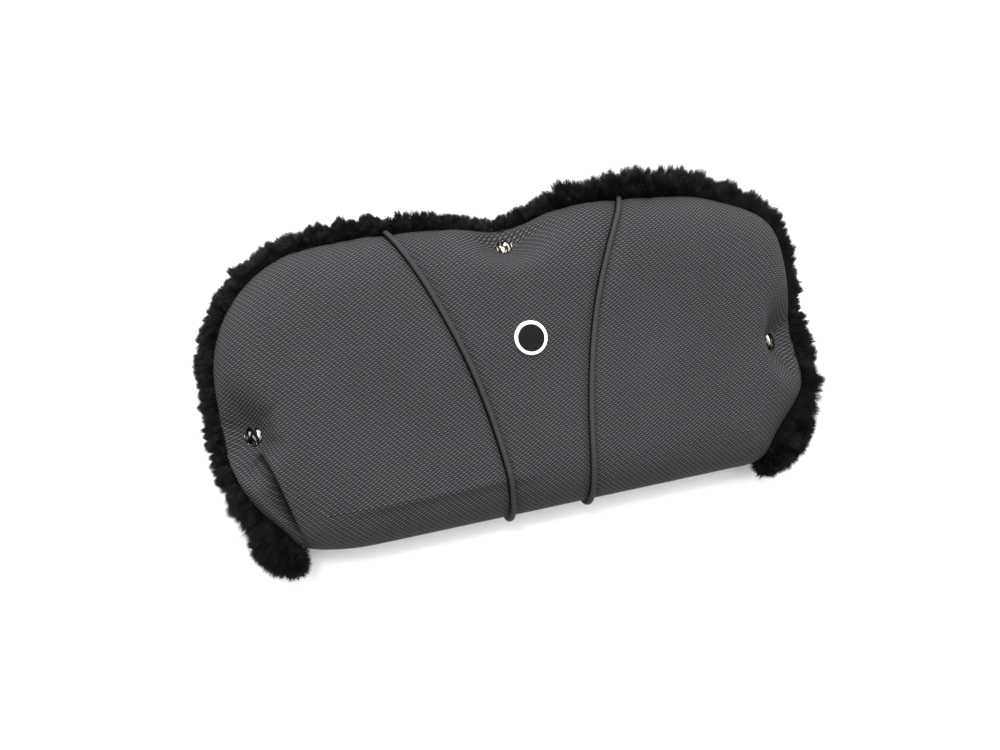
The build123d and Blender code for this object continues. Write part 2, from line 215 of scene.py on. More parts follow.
ARC_CENTRE, ARC_RADIUS = circle_through([(x, FOLD_Y + reach) for x, reach in PIPING_POINTS])
HALF_TOTAL = OUT_TOTAL / 2
FOLD_CORNER = OUT_LENGTHS[np.argmax(OUT_NORMALS[:, 0] > math.sin(math.radians(45)))]
LOBE_CORNER = OUT_LENGTHS[np.argmax(OUT_NORMALS[:, 1] > math.sin(math.radians(45)))]


def piping_crossing(inset, low, high):
    """Outline length, between low and high, where the right piping line meets the inset outline."""
    t = np.linspace(low, high, 400)
    gap = np.linalg.norm(on_outline(t, np.full(400, inset)) - ARC_CENTRE, axis=1) - ARC_RADIUS
    k = np.argmax(np.diff(np.sign(gap)) != 0)
    return t[k] - gap[k] * (t[k + 1] - t[k]) / (gap[k + 1] - gap[k])


def loop_lengths(fold_inset, lobe_inset):
    """Outline lengths of one ring's points: along the fold, up the right side, back and down the left."""
    low = piping_crossing(fold_inset, 0, FOLD_CORNER)
    high = piping_crossing(lobe_inset, LOBE_CORNER, HALF_TOTAL)
    fold = np.concatenate([
        np.linspace(0, low, N_CENTRE // 2 + 1),
        np.linspace(low, FOLD_CORNER, N_SIDE + 1)[1:],
    ])
    side = np.linspace(FOLD_CORNER, LOBE_CORNER, N_ROWS + 1)[1:]
    lobe = np.concatenate([
        np.linspace(LOBE_CORNER, high, N_SIDE + 1)[1:],
        np.linspace(high, HALF_TOTAL, N_CENTRE // 2 + 1)[1:],
    ])
    right = np.concatenate([fold, side, lobe])
    left = -right[1:-1][::-1]
    whole = np.concatenate([right, OUT_TOTAL + left])
    return np.roll(whole, N_ACROSS // 2)


N_LOOP = 2 * N_ACROSS + 2 * N_ROWS


def loop_cell(k):
    """Column and row of the inner grid's border point that loop point k belongs to."""
    if k <= N_ACROSS:
        return k, 0
    if k <= N_ACROSS + N_ROWS:
        return N_ACROSS, k - N_ACROSS
    if k <= 2 * N_ACROSS + N_ROWS:
        return 2 * N_ACROSS + N_ROWS - k, N_ROWS
    return 0, N_LOOP - k


def coons(low, high, left, right):
    """Plan grid [column, row] that fills four border lines."""
    u = np.linspace(0, 1, len(low))[:, None, None]
    v = np.linspace(0, 1, len(left))[None, :, None]
    ruled = (1 - v) * low[:, None] + v * high[:, None] + (1 - u) * left[None] + u * right[None]
    corners = (1 - u) * ((1 - v) * low[0] + v * high[0]) + u * ((1 - v) * low[-1] + v * high[-1])
    return ruled - corners


def inner_grid():
    """Plan points of the whole inner area, [column, row], with two columns on the piping lines."""
    loop = on_outline(loop_lengths(INNER_DEPTH, INNER_DEPTH), np.full(N_LOOP, INNER_DEPTH))
    fold = loop[:N_ACROSS + 1]
    right = loop[N_ACROSS:N_ACROSS + N_ROWS + 1]
    lobe = loop[N_ACROSS + N_ROWS:2 * N_ACROSS + N_ROWS + 1][::-1]
    left = np.concatenate([loop[2 * N_ACROSS + N_ROWS:], loop[:1]])[::-1]
    a, b = N_SIDE, N_SIDE + N_CENTRE
    angles = [math.atan2(*(p - ARC_CENTRE)[::-1]) for p in (fold[b], lobe[b])]
    angles[1] += 2 * math.pi * round((angles[0] - angles[1]) / (2 * math.pi))
    sweep = np.linspace(angles[0], angles[1], N_ROWS + 1)
    arc = ARC_CENTRE + ARC_RADIUS * np.stack([np.cos(sweep), np.sin(sweep)], -1)
    mirrored = arc * (-1, 1)
    grid = np.zeros((N_ACROSS + 1, N_ROWS + 1, 2))
    grid[:a + 1] = coons(fold[:a + 1], lobe[:a + 1], left, mirrored)
    grid[a:b + 1] = coons(fold[a:b + 1], lobe[a:b + 1], mirrored, arc)
    grid[b:] = coons(fold[b:], lobe[b:], arc, right)
    return grid


# ---------------------------------------------------------------- shape of the padding

def pad_height(inset):
    """Height of the padding above the parting plane, at a distance in from the edge."""
    share = 1 - np.clip(inset / EDGE_DEPTH, 0, 1)
    return HALF_THICKNESS * (1 - share ** FULLNESS) ** (1 / FULLNESS)


def step(value, low, high):
    """Smooth rise from 0 to 1."""
    share = np.clip((value - low) / (high - low), 0, 1)
    return share * share * (3 - 2 * share)


def soft_min(a, b, width):
    """Lower of two heights, rounded where they meet."""
    h = np.clip(0.5 + 0.5 * (b - a) / width, 0, 1)
    return b * (1 - h) + a * h - width * h * (1 - h)


def pinch(points, side):
    """Pulls points of one half down to the three snaps, with small radiating folds."""
    floor = FRONT_FLOOR if side > 0 else BACK_FLOOR
    folded = side * (points[:, 2] - MID_Z) < 0.0022
    inner = step(outline_distance(points[:, :2]), 0.0010, 0.0045)
    for phase, (place, lean) in enumerate(SNAPS.values()):
        origin = np.array([place[0], FOLD_Y + place[1], MID_Z])
        axis = np.array([*(math.sin(SNAP_LEAN) * np.array(lean)), math.cos(SNAP_LEAN)]) * side
        away = points - origin
        along = away @ axis
        across = away - along[:, None] * axis
        radial = np.linalg.norm(across, axis=1)
        turn = np.arctan2(across[:, 1], across[:, 0])
        out = np.maximum(radial - PATCH_RADIUS, 0)
        slope = FRONT_SLOPE if side > 0 else BACK_SLOPE
        folds = 0.16 * np.cos(6 * turn + 2.1 * phase) + 0.10 * np.cos(9 * turn + 1.3 * phase)
        funnel = floor + slope * out * (1 + folds * np.exp(-out / 0.022) * step(out, 0.0, 0.006))
        lowered = soft_min(along, funnel, 0.009)
        lowered = np.where(radial < PATCH_RADIUS, np.minimum(lowered, floor), lowered)
        shift = np.where(along > 0, lowered - along, 0)[:, None] * axis
        shift[:, :2] *= inner[:, None]
        points = points + shift
    points[:, 2] = MID_Z + side * np.maximum(side * (points[:, 2] - MID_Z), np.where(folded, 0, 0.0022))
    return points


def along_path(plan, path):
    """For plan points: signed distance to a path (left is positive), share along it, way to its left."""
    nearest = np.full(len(plan), 1.0)
    signed, share = np.zeros(len(plan)), np.zeros(len(plan))
    leftward = np.zeros((len(plan), 2))
    for k, (start, end) in enumerate(zip(path[:-1], path[1:])):
        start, end = np.array(start), np.array(end)
        run = end - start
        part = np.clip((plan - start) @ run / (run @ run), 0, 1)
        away = plan - start - part[:, None] * run
        gap = np.linalg.norm(away, axis=1)
        side = np.sign(run[0] * (plan - start)[:, 1] - run[1] * (plan - start)[:, 0])
        closer = gap < nearest
        signed = np.where(closer, side * gap, signed)
        share = np.where(closer, (k + part) / (len(path) - 1), share)
        leftward[closer] = np.array([-run[1], run[0]]) / np.linalg.norm(run)
        nearest = np.minimum(nearest, gap)
    return signed, share, leftward


# Creases of the front: plan path (x, reach), width left of it, width right of it, first depth, last depth
CREASES = [
    (
        [(-0.224, 0.090), (-0.218, 0.072), (-0.212, 0.050), (-0.206, 0.028), (-0.198, 0.004)],
        0.0012, 0.0150, 0.006, 0.009,
    ),
    ([(-0.229, 0.100), (-0.252, 0.091)], 0.0080, 0.0018, 0.003, 0.005),
    ([(0.229, 0.104), (0.250, 0.112)], 0.0070, 0.0025, 0.003, 0.004),
    ([(0.226, 0.092), (0.236, 0.060)], 0.0080, 0.0050, 0.003, 0.001),
    ([(-0.215, 0.110), (-0.196, 0.128)], 0.0040, 0.0060, 0.002, 0.000),
    ([(-0.004, 0.200), (-0.010, 0.160)], 0.0070, 0.0070, 0.001, 0.000),
]
# Cloth is drawn towards a crease from this far; deeper creases than DEEP are tucked under and lie in shadow
MAGNET = 0.010
DEEP = 0.0045

# Where the muff's plan is fuller or drawn in: x, reach, change of each, radius
BULGES = [
    (-0.192, 0.000, -0.008, 0.006, 0.022),
    (0.194, 0.000, 0.003, 0.000, 0.016),
    (0.246, 0.062, 0.007, -0.002, 0.032),
    (0.230, 0.192, 0.011, 0.009, 0.038),
    (0.104, 0.236, 0.009, 0.001, 0.045),
    (0.055, 0.235, 0.000, 0.008, 0.040),
    (-0.050, 0.233, 0.000, 0.004, 0.040),
]


def warp(plan):
    """Plan points moved by the bulges."""
    moved = plan.copy()
    for x, reach, dx, dy, radius in BULGES:
        gap = np.linalg.norm(plan - (x, FOLD_Y + reach), axis=1)
        moved += np.exp(-(gap / radius) ** 2)[:, None] * np.array([dx, dy])
    return moved


def wrinkle(points, slack=0.0):
    """Presses the creases into the front, tucked under their steep sides.

    Returns how far the cloth slid in plan, and painted shade (0 to 1) along the fold line of each deeper
    crease.
    Layers under the shell have slack: their creases are wider and deeper, and are not tucked.
    """
    clear = np.ones(len(points))
    for place, lean in SNAPS.values():
        centre = np.array([place[0], FOLD_Y + place[1]]) + 0.004 * np.array(lean)
        away = np.linalg.norm(points[:, :2] - centre, axis=1) - PATCH_RADIUS + slack / 2
        clear = np.minimum(clear, step(away, 0, 0.007))
    height = points[:, 2] - MID_Z
    held = np.clip((height - 0.004) / 0.010, 0, 1) * step(outline_distance(points[:, :2]), 0.002, 0.011)
    drop = np.zeros(len(points))
    slide_and_painted_shade = np.zeros((len(points), 3))
    for path, left_width, right_width, first, last in CREASES:
        path = [(x, FOLD_Y + reach) for x, reach in path]
        signed, share, leftward = along_path(points[:, :2], path)
        ends = step(share, 0, 0.12) * step(1 - share, 0, 0.06) * held
        gather = signed * -0.75 * (1 - np.clip(abs(signed) / MAGNET, 0, 1)) * ends * clear * (slack == 0)
        slide_and_painted_shade[:, :2] += leftward * gather[:, None]
        signed = signed + gather
        depth = first + (last - first) * share
        width = np.where(signed > 0, left_width, right_width) + 2 * slack
        drop += (depth * ends + slack / 2) * np.exp(-(signed / width) ** 2)
        steep = np.sign(right_width - left_width) * (slack == 0)
        reach = np.where(signed * steep > 0, 0.0013, 0.0026)
        tuck = steep * 1.2 * max(last - DEEP, 0) * np.exp(-(signed / reach) ** 2)
        points[:, :2] += leftward * (gather + tuck * ends * clear)[:, None]
        # Painted shade: darkens the cloth along the fold line of each crease deeper than 4 mm, kept in the
        # third value.
        folded = np.exp(-((signed + 0.0008 * steep) / 0.0022) ** 2) * np.clip((depth - 0.004) / 0.003, 0, 1)
        slide_and_painted_shade[:, 2] = np.maximum(slide_and_painted_shade[:, 2], folded * ends * clear)
    points[:, 2] -= drop * held * clear
    points[:, 2] = np.maximum(points[:, 2], MID_Z + np.minimum(height, HEM_HEIGHT - slack / 2))
    return slide_and_painted_shade


def settle(points, side):
    """Turns the plain padded form of one half into its sewn and snapped shape."""
    height = (points[:, 2] - MID_Z) * side
    held = np.clip(height / 0.016, 0, 1)
    piping_gap = np.minimum.reduce([
        abs(np.linalg.norm(points[:, :2] * (hand, 1) - ARC_CENTRE, axis=1) - ARC_RADIUS)
        for hand in (-1, 1)
    ])
    drop = 0.0042 * np.exp(-(piping_gap / 0.0058) ** 2)
    x, y = points[:, 0], points[:, 1]
    wave = np.sin(31 * x + 17 * y) * np.sin(43 * y - 12 * x + 1) + np.sin(58 * x - 26 * y + 2) * 0.5
    drop += 0.0006 * (wave + 1.5) * (1 - np.exp(-(np.hypot(x, y - FOLD_Y - BADGE_REACH) / 0.030) ** 4))
    if side < 0:
        drop *= np.clip(1 - (height - 0.030) / 0.003, 0, 1)
    moved = points.copy()
    moved[:, 2] -= side * drop * held
    moved[:, :2] = warp(moved[:, :2])
    return pinch(moved, side)


# ---------------------------------------------------------------- meshes

def mesh_object(name, points, faces, material, smooth=True):
    """New object from points and faces."""
    mesh = bpy.data.meshes.new(name)
    mesh.from_pydata([tuple(p) for p in points], [], [tuple(int(k) for k in f) for f in faces])
    mesh.materials.append(material)
    mesh.polygons.foreach_set("use_smooth", np.full(len(mesh.polygons), smooth))
    mesh.update()
    piece = bpy.data.objects.new(name, mesh)
    bpy.context.scene.collection.objects.link(piece)
    return piece


def point_values(mesh, name, values):
    """Gives a mesh's points named values: one number or one vector each."""
    values = np.asarray(values, np.float32)
    kind, key = ("FLOAT", "value") if values.ndim == 1 else ("FLOAT_VECTOR", "vector")
    mesh.attributes.new(name, kind, "POINT").data.foreach_set(key, values.ravel())


def apply_modifiers(piece):
    """Turns a piece's modifiers into its mesh."""
    bpy.context.view_layer.update()
    evaluated = piece.evaluated_get(bpy.context.evaluated_depsgraph_get())
    mesh = bpy.data.meshes.new_from_object(evaluated)
    piece.modifiers.clear()
    piece.data = mesh


def weld(points, faces, extra):
    """Joins points that lie on one another; extra is carried along."""
    keys = np.round(points / 1e-6).astype(np.int64)
    _, first, where = np.unique(keys, axis=0, return_index=True, return_inverse=True)
    where = where.reshape(-1)
    faces = [[where[k] for k in f] for f in faces]
    faces = [f for f in faces if len(set(f)) == len(f)]
    return points[first], faces, extra[first]


class Layer:
    """Points of one soft layer of one half: the inner grid, then rings out to the edge."""

    def __init__(self, side, ring_insets, ring_heights, flat_lengths):
        self.rings = len(ring_insets)
        self.insets = ring_insets
        grid = inner_grid()
        inner_height = pad_height(outline_distance(grid))
        points = [np.dstack([grid, MID_Z + side * inner_height]).reshape(-1, 3)]
        flats = [grid.reshape(-1, 2)]
        outward = [np.zeros((grid.shape[0] * grid.shape[1], 2))]
        for insets, heights, length in zip(ring_insets, ring_heights, flat_lengths):
            t = loop_lengths(insets[N_ACROSS // 2], insets[N_ACROSS + N_ROWS + N_ACROSS // 2])
            plan = on_outline(t, insets)
            points.append(np.column_stack([plan, MID_Z + side * heights]))
            flats.append(on_outline(t, INNER_DEPTH - length))
            outward.append(outline_normal(t))
        self.points = np.concatenate(points)
        self.flat_plan = self.points[:, :2].copy()
        self.outward = np.concatenate(outward)
        self.flats = np.concatenate(flats)
        self.side = side

    def inner(self, i, j):
        return i * (N_ROWS + 1) + j

    def ring(self, k, m):
        """Index of loop point m on ring k, where ring 0 is the inner grid's own border."""
        m %= N_LOOP
        if k == 0:
            return self.inner(*loop_cell(m))
        return (N_ACROSS + 1) * (N_ROWS + 1) + (k - 1) * N_LOOP + m

    def faces(self, columns=(0, N_ACROSS)):
        """Quads of the columns from the first to the last, with the rings beside them."""
        first, last = columns
        quads = [
            (self.inner(i, j), self.inner(i + 1, j), self.inner(i + 1, j + 1), self.inner(i, j + 1))
            for i in range(first, last)
            for j in range(N_ROWS)
        ]
        for m in range(N_LOOP):
            i, _ = loop_cell(m)
            i_next, _ = loop_cell((m + 1) % N_LOOP)
            if first <= min(i, i_next) and max(i, i_next) <= last:
                for k in range(self.rings):
                    quads.append((self.ring(k, m), self.ring(k + 1, m),
                                  self.ring(k + 1, m + 1), self.ring(k, m + 1)))
        if self.side < 0:
            quads = [q[::-1] for q in quads]
        return quads


def fold_share():
    """For each loop point, 1 along the fold's straight run, falling to 0 round its two corners."""
    t = np.minimum(*[np.mod(s * loop_lengths(0, 0), OUT_TOTAL) for s in (1, -1)])
    straight = OUT_LENGTHS[np.argmax(OUT_NORMALS[:, 0] > 0.02)]
    share = np.clip((FOLD_CORNER + 0.012 - t) / (FOLD_CORNER + 0.012 - straight), 0, 1)
    return share * share * (3 - 2 * share)


def shell_layer(side):
    """The shell's outer surface on one half."""
    hem = np.arccos((HEM_HEIGHT / HALF_THICKNESS) ** (FULLNESS / 2))
    last = hem + (math.pi / 2 - hem) * fold_share()
    first = math.asin((1 - INNER_DEPTH / EDGE_DEPTH) ** (FULLNESS / 2))
    insets, heights, lengths = [], [], []
    arc = np.zeros(N_LOOP)
    before = (np.full(N_LOOP, INNER_DEPTH), pad_height(np.full(N_LOOP, INNER_DEPTH)))
    for k in range(1, N_RINGS + 1):
        angle = first + (last - first) * k / N_RINGS
        inset = EDGE_DEPTH * (1 - np.sin(angle) ** (2 / FULLNESS))
        height = HALF_THICKNESS * np.maximum(np.cos(angle), 0) ** (2 / FULLNESS)
        height[angle > math.pi / 2 - 1e-6] = 0
        arc = arc + np.hypot(inset - before[0], height - before[1])
        before = (inset, height)
        insets.append(inset)
        heights.append(height)
        lengths.append(arc)
    layer = Layer(side, insets, heights, lengths)
    layer.points = settle(layer.points, side)
    layer.points[:, 2] = np.maximum(layer.points[:, 2], 0.0003)
    layer.under = layer.points.copy()
    if side > 0:
        wrinkle(layer.under, 0.006)
    layer.fold_flat = FOLD_Y + INNER_DEPTH - lengths[-1].max()
    if side < 0:
        layer.flats[:, 1] = 2 * layer.fold_flat - layer.flats[:, 1]
    return layer


def columns_of(panel):
    return {
        "left": (0, N_SIDE),
        "centre": (N_SIDE, N_SIDE + N_CENTRE),
        "right": (N_SIDE + N_CENTRE, N_ACROSS),
    }[panel]


def cross_fold(piece):
    """Bakes a piece's placement into its mesh."""
    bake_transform(piece)


def press_creases(mesh, fold_flat):
    """Creases in the front of a finished shell panel, with the weave sliding along and painted shade laid
    along the deeper creases.

    Also keeps the cloth of each half on its own side of the parting level, so that the halves part cleanly.
    """
    points = np.zeros((len(mesh.vertices), 3), np.float32)
    mesh.vertices.foreach_get("co", points.ravel())
    cloth = np.zeros_like(points)
    mesh.attributes["cloth"].data.foreach_get("vector", cloth.ravel())
    normals = np.zeros_like(points)
    mesh.vertex_normals.foreach_get("vector", normals.ravel())
    front = points[:, 2] > MID_Z + 0.004
    thickness = np.where(normals[front, 2] < 0, SHELL_THICKNESS, 0)
    pressed = points[front].astype(float)
    pressed[:, 2] += thickness
    # The third value of the cloth attribute takes the painted shade of the creases.
    cloth[front] += wrinkle(pressed)
    pressed[:, 2] -= thickness
    points[front] = pressed
    away = points[:, 1] > FOLD_Y + 0.020
    of_front = cloth[:, 1] > fold_flat
    points[away & of_front, 2] = np.maximum(points[away & of_front, 2], PART_Z + 0.0002)
    points[away & ~of_front, 2] = np.minimum(points[away & ~of_front, 2], PART_Z - 0.0002)
    mesh.vertices.foreach_set("co", points.ravel())
    mesh.attributes["cloth"].data.foreach_set("vector", cloth.ravel())
    mesh.update()


def make_shell(layers, material):
    """Three cloth panels, each one sheet from the back hem round the fold to the front hem."""
    for panel in PANELS:
        parts, faces, flats, offset = [], [], [], 0
        for layer in layers.values():
            parts.append(layer.points)
            flats.append(layer.flats)
            faces += [[k + offset for k in f] for f in layer.faces(columns_of(panel))]
            offset += len(layer.points)
        used = sorted({k for f in faces for k in f})
        place = {k: n for n, k in enumerate(used)}
        points = np.concatenate(parts)[used]
        flat = np.concatenate(flats)[used]
        faces = [[place[k] for k in f] for f in faces]
        points, faces, flat = weld(points, faces, flat)
        piece = mesh_object(f"shell_{panel}", points, faces, material)
        # Cloth attribute: flat weave position, and a third value that will hold the painted crease shade.
        point_values(piece.data, "cloth", np.column_stack([flat, np.zeros(len(flat))]))
        thick = piece.modifiers.new("thickness", "SOLIDIFY")
        thick.thickness = SHELL_THICKNESS
        thick.offset = -1
        smooth = piece.modifiers.new("smooth", "SUBSURF")
        smooth.levels = smooth.render_levels = 1
        apply_modifiers(piece)
        press_creases(piece.data, layers[1].fold_flat)
        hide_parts(f"front_shell_{panel}", f"back_shell_{panel}")
        cross_fold(piece)


def sheet_normals(points, faces):
    """Outward unit normals at the points of a layer of quads."""
    quads = np.array(faces)
    across = points[quads[:, 2]] - points[quads[:, 0]]
    along = points[quads[:, 3]] - points[quads[:, 1]]
    face_normals = np.cross(across, along)
    normals = np.zeros_like(points)
    for k in range(4):
        np.add.at(normals, quads[:, k], face_normals)
    return normals / np.maximum(np.linalg.norm(normals, axis=1, keepdims=True), 1e-12)


def near_snap(centres, reach):
    """True for points that lie within reach of a snap's axis."""
    near = np.zeros(len(centres), bool)
    for place, lean in SNAPS.values():
        origin = np.array([place[0], FOLD_Y + place[1], MID_Z])
        axis = np.array([*(math.sin(SNAP_LEAN) * np.array(lean)), math.cos(SNAP_LEAN)])
        away = centres - origin
        near |= np.linalg.norm(away - (away @ axis)[:, None] * axis, axis=1) < reach
    return near


def closed_between(name, top, bottom, layer, between, material):
    """Closed body between two surfaces of one layer's grid, with holes round the snaps."""
    count = len(top)
    faces = layer.faces()
    quads = np.array(faces)
    dropped = near_snap(bottom[quads].mean(1), 0.0095)
    shown = [tuple(f) for f, gone in zip(faces, dropped) if not gone]
    quads_made = shown + [tuple(k + count for k in f[::-1]) for f in shown]
    edges = {}
    for f in [tuple(f) for f, gone in zip(faces, dropped) if gone]:
        for a, b in zip(f, f[1:] + f[:1]):
            edges[(a, b)] = True
    for a, b in edges:
        if (b, a) not in edges:
            quads_made.append((a, b, b + count, a + count))
    borders = [[layer.ring(layer.rings, m) for m in range(N_LOOP)]]
    points = [top, bottom]
    start = 2 * count
    for ring in between:
        borders.append(list(range(start, start + N_LOOP)))
        points.append(ring)
        start += N_LOOP
    borders.append([k + count for k in borders[0]])
    for upper, lower in zip(borders[:-1], borders[1:]):
        for m in range(N_LOOP):
            n = (m + 1) % N_LOOP
            quad = (upper[m], lower[m], lower[n], upper[n])
            quads_made.append(quad if layer.side > 0 else quad[::-1])
    return mesh_object(name, np.concatenate(points), quads_made, material)


def make_wadding(layer, material):
    """Padding between the shell and the lining of one half."""
    normals = sheet_normals(layer.under, layer.faces())
    height = abs(layer.under[:, 2] - MID_Z)
    thin = np.clip((height - 0.004) / 0.012, 0.12, 1)[:, None]
    top = layer.under - normals * (SHELL_THICKNESS + 0.0006)
    bottom = layer.under - normals * (SHELL_THICKNESS + 0.0008 + (WADDING_THICKNESS - 0.001) * thin)
    for sheet in (top, bottom):
        sheet[:, 2] = MID_Z + layer.side * np.maximum(layer.side * (sheet[:, 2] - MID_Z), 0.0007)
    half = "front" if layer.side > 0 else "back"
    piece = closed_between(f"{half}_wadding_pad", top, bottom, layer, [], material)
    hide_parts(f"{half}_wadding")
    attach(piece, FRONT if layer.side > 0 else BACK)


def cavity(plan, inset):
    """Height of the handlebar channel and hand pockets, narrower where the fur rim closes over them."""
    x, y = abs(plan[:, 0]), plan[:, 1]
    channel = np.sqrt(np.maximum(CHANNEL_RADIUS ** 2 - (y - CHANNEL_Y) ** 2, 0))
    across = step(x, POCKET_X[0], POCKET_X[0] + 0.012) * (1 - step(x, POCKET_X[1] - 0.012, POCKET_X[1]))
    pocket = POCKET_HEIGHT * across * step(y, CHANNEL_Y, CHANNEL_Y + 0.010)
    open_share = 0.35 + 0.65 * step(inset, 0.004, 0.026)
    return np.maximum(channel, pocket) * np.maximum(open_share, fold_side(plan))


def fold_side(plan):
    """1 along the straight fold, away from the side openings."""
    return 1 - step(abs(plan[:, 0]), 0.170, 0.195)


# Fur rim cross-section outside the hem: distance out from the outline, height from the parting plane
RIM = [
    (-0.003, 0.0072), (0.001, 0.0076), (0.004, 0.0066),
    (0.005, 0.0042), (0.004, 0.0018), (0.001, 0.0008),
]
PILE = 0.0045


def make_lining(layer, material):
    """Faux fur backing of one half; returns what the pile grows from."""
    side = layer.side
    share = np.zeros(len(layer.points))
    inset = np.full(len(layer.points), INNER_DEPTH)
    loop_share = fold_share()
    base = layer.inner(N_ACROSS, N_ROWS) + 1
    for k in range(1, layer.rings + 1):
        rows = slice(base + (k - 1) * N_LOOP, base + k * N_LOOP)
        share[rows] = loop_share
        inset[rows] = layer.insets[k - 1]
    normals = sheet_normals(layer.under, layer.faces())
    top = layer.under - normals * (SHELL_THICKNESS + WADDING_THICKNESS + 0.0004)
    top[:, 2] = MID_Z + side * np.maximum(side * (top[:, 2] - MID_Z), 0.0012)
    bottom = layer.flat_plan.copy()
    shift = (INNER_DEPTH - inset) / INNER_DEPTH * 0.0105 * share
    bottom -= layer.outward * shift[:, None]
    bottom_inset = inset + shift
    height = np.maximum(PILE, cavity(bottom, bottom_inset) + PILE * 0.5)
    limit = np.maximum(side * (top[:, 2] - MID_Z) - 0.0010, 0.0006)
    height = np.minimum(height, limit)
    bottom = np.column_stack([warp(bottom), MID_Z + side * height])
    lengths = loop_lengths(0, 0)
    hem = [layer.ring(layer.rings, m) for m in range(N_LOOP)]
    hem_share = np.clip(side * (layer.points[hem, 2] - MID_Z) / HEM_HEIGHT, 0.2, 1)
    between = []
    for out, level in RIM:
        spread = out * (1 - loop_share) - 0.0098 * loop_share
        plan = on_outline(lengths, -spread)
        level = np.maximum(level * hem_share, cavity(plan, -spread) * (1 - loop_share))
        rise = level * (1 - loop_share) + 0.0010 * loop_share
        between.append(np.column_stack([warp(plan), MID_Z + side * rise]))
    half = "front" if side > 0 else "back"
    piece = closed_between(f"{half}_fur_backing", top, bottom, layer, between, material)
    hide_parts(f"{half}_fur_lining")
    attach(piece, FRONT if side > 0 else BACK)
    return bottom, [top[hem]] + between


# ---------------------------------------------------------------- piping

def piping_path(layers, column):
    """Points and outward directions along one piping line, from the back hem to the front hem."""
    lobe = 2 * N_ACROSS + N_ROWS - column
    path, outs = [], []
    for side in (-1, 1):
        layer = layers[side]
        normals = sheet_normals(layer.points, layer.faces())
        order = [layer.ring(k, lobe) for k in range(layer.rings, 0, -1)]
        order += [layer.inner(column, j) for j in range(N_ROWS, -1, -1)]
        order += [layer.ring(k, column) for k in range(1, layer.rings + 1)]
        if side > 0:
            order = order[::-1][1:]
        path.append(layer.points[order])
        outs.append(normals[order])
    path, outs = np.concatenate(path), np.concatenate(outs)
    outs[:, 1] = np.where(abs(path[:, 2] - MID_Z) < 1e-6, -1, outs[:, 1])
    return path, outs / np.linalg.norm(outs, axis=1, keepdims=True)


def resampled(path, outs, spacing):
    """The same line with evenly spaced, slightly smoothed points."""
    for _ in range(3):
        path[1:-1] = (path[:-2] + 2 * path[1:-1] + path[2:]) / 4
        outs[1:-1] = (outs[:-2] + 2 * outs[1:-1] + outs[2:]) / 4
    lengths = np.concatenate([[0], np.cumsum(np.linalg.norm(np.diff(path, axis=0), axis=1))])
    t = np.linspace(0, lengths[-1], int(lengths[-1] / spacing))
    path = np.stack([np.interp(t, lengths, path[:, k]) for k in range(3)], -1)
    outs = np.stack([np.interp(t, lengths, outs[:, k]) for k in range(3)], -1)
    return path, outs / np.linalg.norm(outs, axis=1, keepdims=True), t


def tube(name, path, outs, section, material, lengths):
    """Closed tube along a path from a section of (across, out) points."""
    along = np.gradient(path, axis=0)
    along /= np.linalg.norm(along, axis=1, keepdims=True)
    across = np.cross(along, outs)
    across /= np.linalg.norm(across, axis=1, keepdims=True)
    section = np.array(section)
    rings = path[:, None] + across[:, None] * section[None, :, :1] + outs[:, None] * section[None, :, 1:]
    count = len(section)
    points = rings.reshape(-1, 3)
    points[:, 2] = np.maximum(points[:, 2], 0.0002)
    faces = [
        (r * count + k, r * count + (k + 1) % count, (r + 1) * count + (k + 1) % count, (r + 1) * count + k)
        for r in range(len(path) - 1)
        for k in range(count)
    ]
    faces.append(tuple(range(count))[::-1])
    faces.append(tuple((len(path) - 1) * count + k for k in range(count)))
    piece = mesh_object(name, points, faces, material)
    point_values(piece.data, "along", np.add.outer(lengths, RIB_SLANT * np.arange(count) / count).ravel())
    return piece


def make_piping(layers, cover_material, cord_material):
    """Piping between the panels: a cord in a bias cover whose seam runs along its left side, tucked in and
    painted dark as shade.
    """
    for hand, column in (("left", N_SIDE), ("right", N_SIDE + N_CENTRE)):
        path, outs, lengths = resampled(*piping_path(layers, column), 0.0016)
        centre = path + outs * 0.0021
        section, seam_painted_shade = [], []
        for k in range(20):
            angle = 2 * math.pi * k / 20
            across, out = PIPING_RADIUS * math.cos(angle), PIPING_RADIUS * math.sin(angle)
            tuck = math.exp(-((angle - math.radians(168)) / 0.42) ** 2)
            section.append((across * (1 - 0.25 * tuck), out * (1 - 0.25 * tuck) - 0.0008 * tuck))
            seam_painted_shade.append(tuck)
        cover = tube(f"piping_cover_{hand}", centre, outs, section, cover_material, lengths)
        # The seam attribute is painted shade for the crevice of the tuck; the tuck itself is real geometry.
        point_values(cover.data, "seam", np.tile(seam_painted_shade, len(centre)))
        turns = [2 * math.pi * k / 10 for k in range(10)]
        section = [(CORD_RADIUS * math.cos(turn), CORD_RADIUS * math.sin(turn)) for turn in turns]
        inner = [values[2:-2] for values in (centre, outs, lengths)]
        cord = tube(f"piping_cord_{hand}", *inner[:2], section, cord_material, inner[2])
        for piece, part in ((cover, "cover"), (cord, "cord")):
            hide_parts(f"front_piping_{part}_{hand}", f"back_piping_{part}_{hand}")
            cross_fold(piece)


# ---------------------------------------------------------------- fur

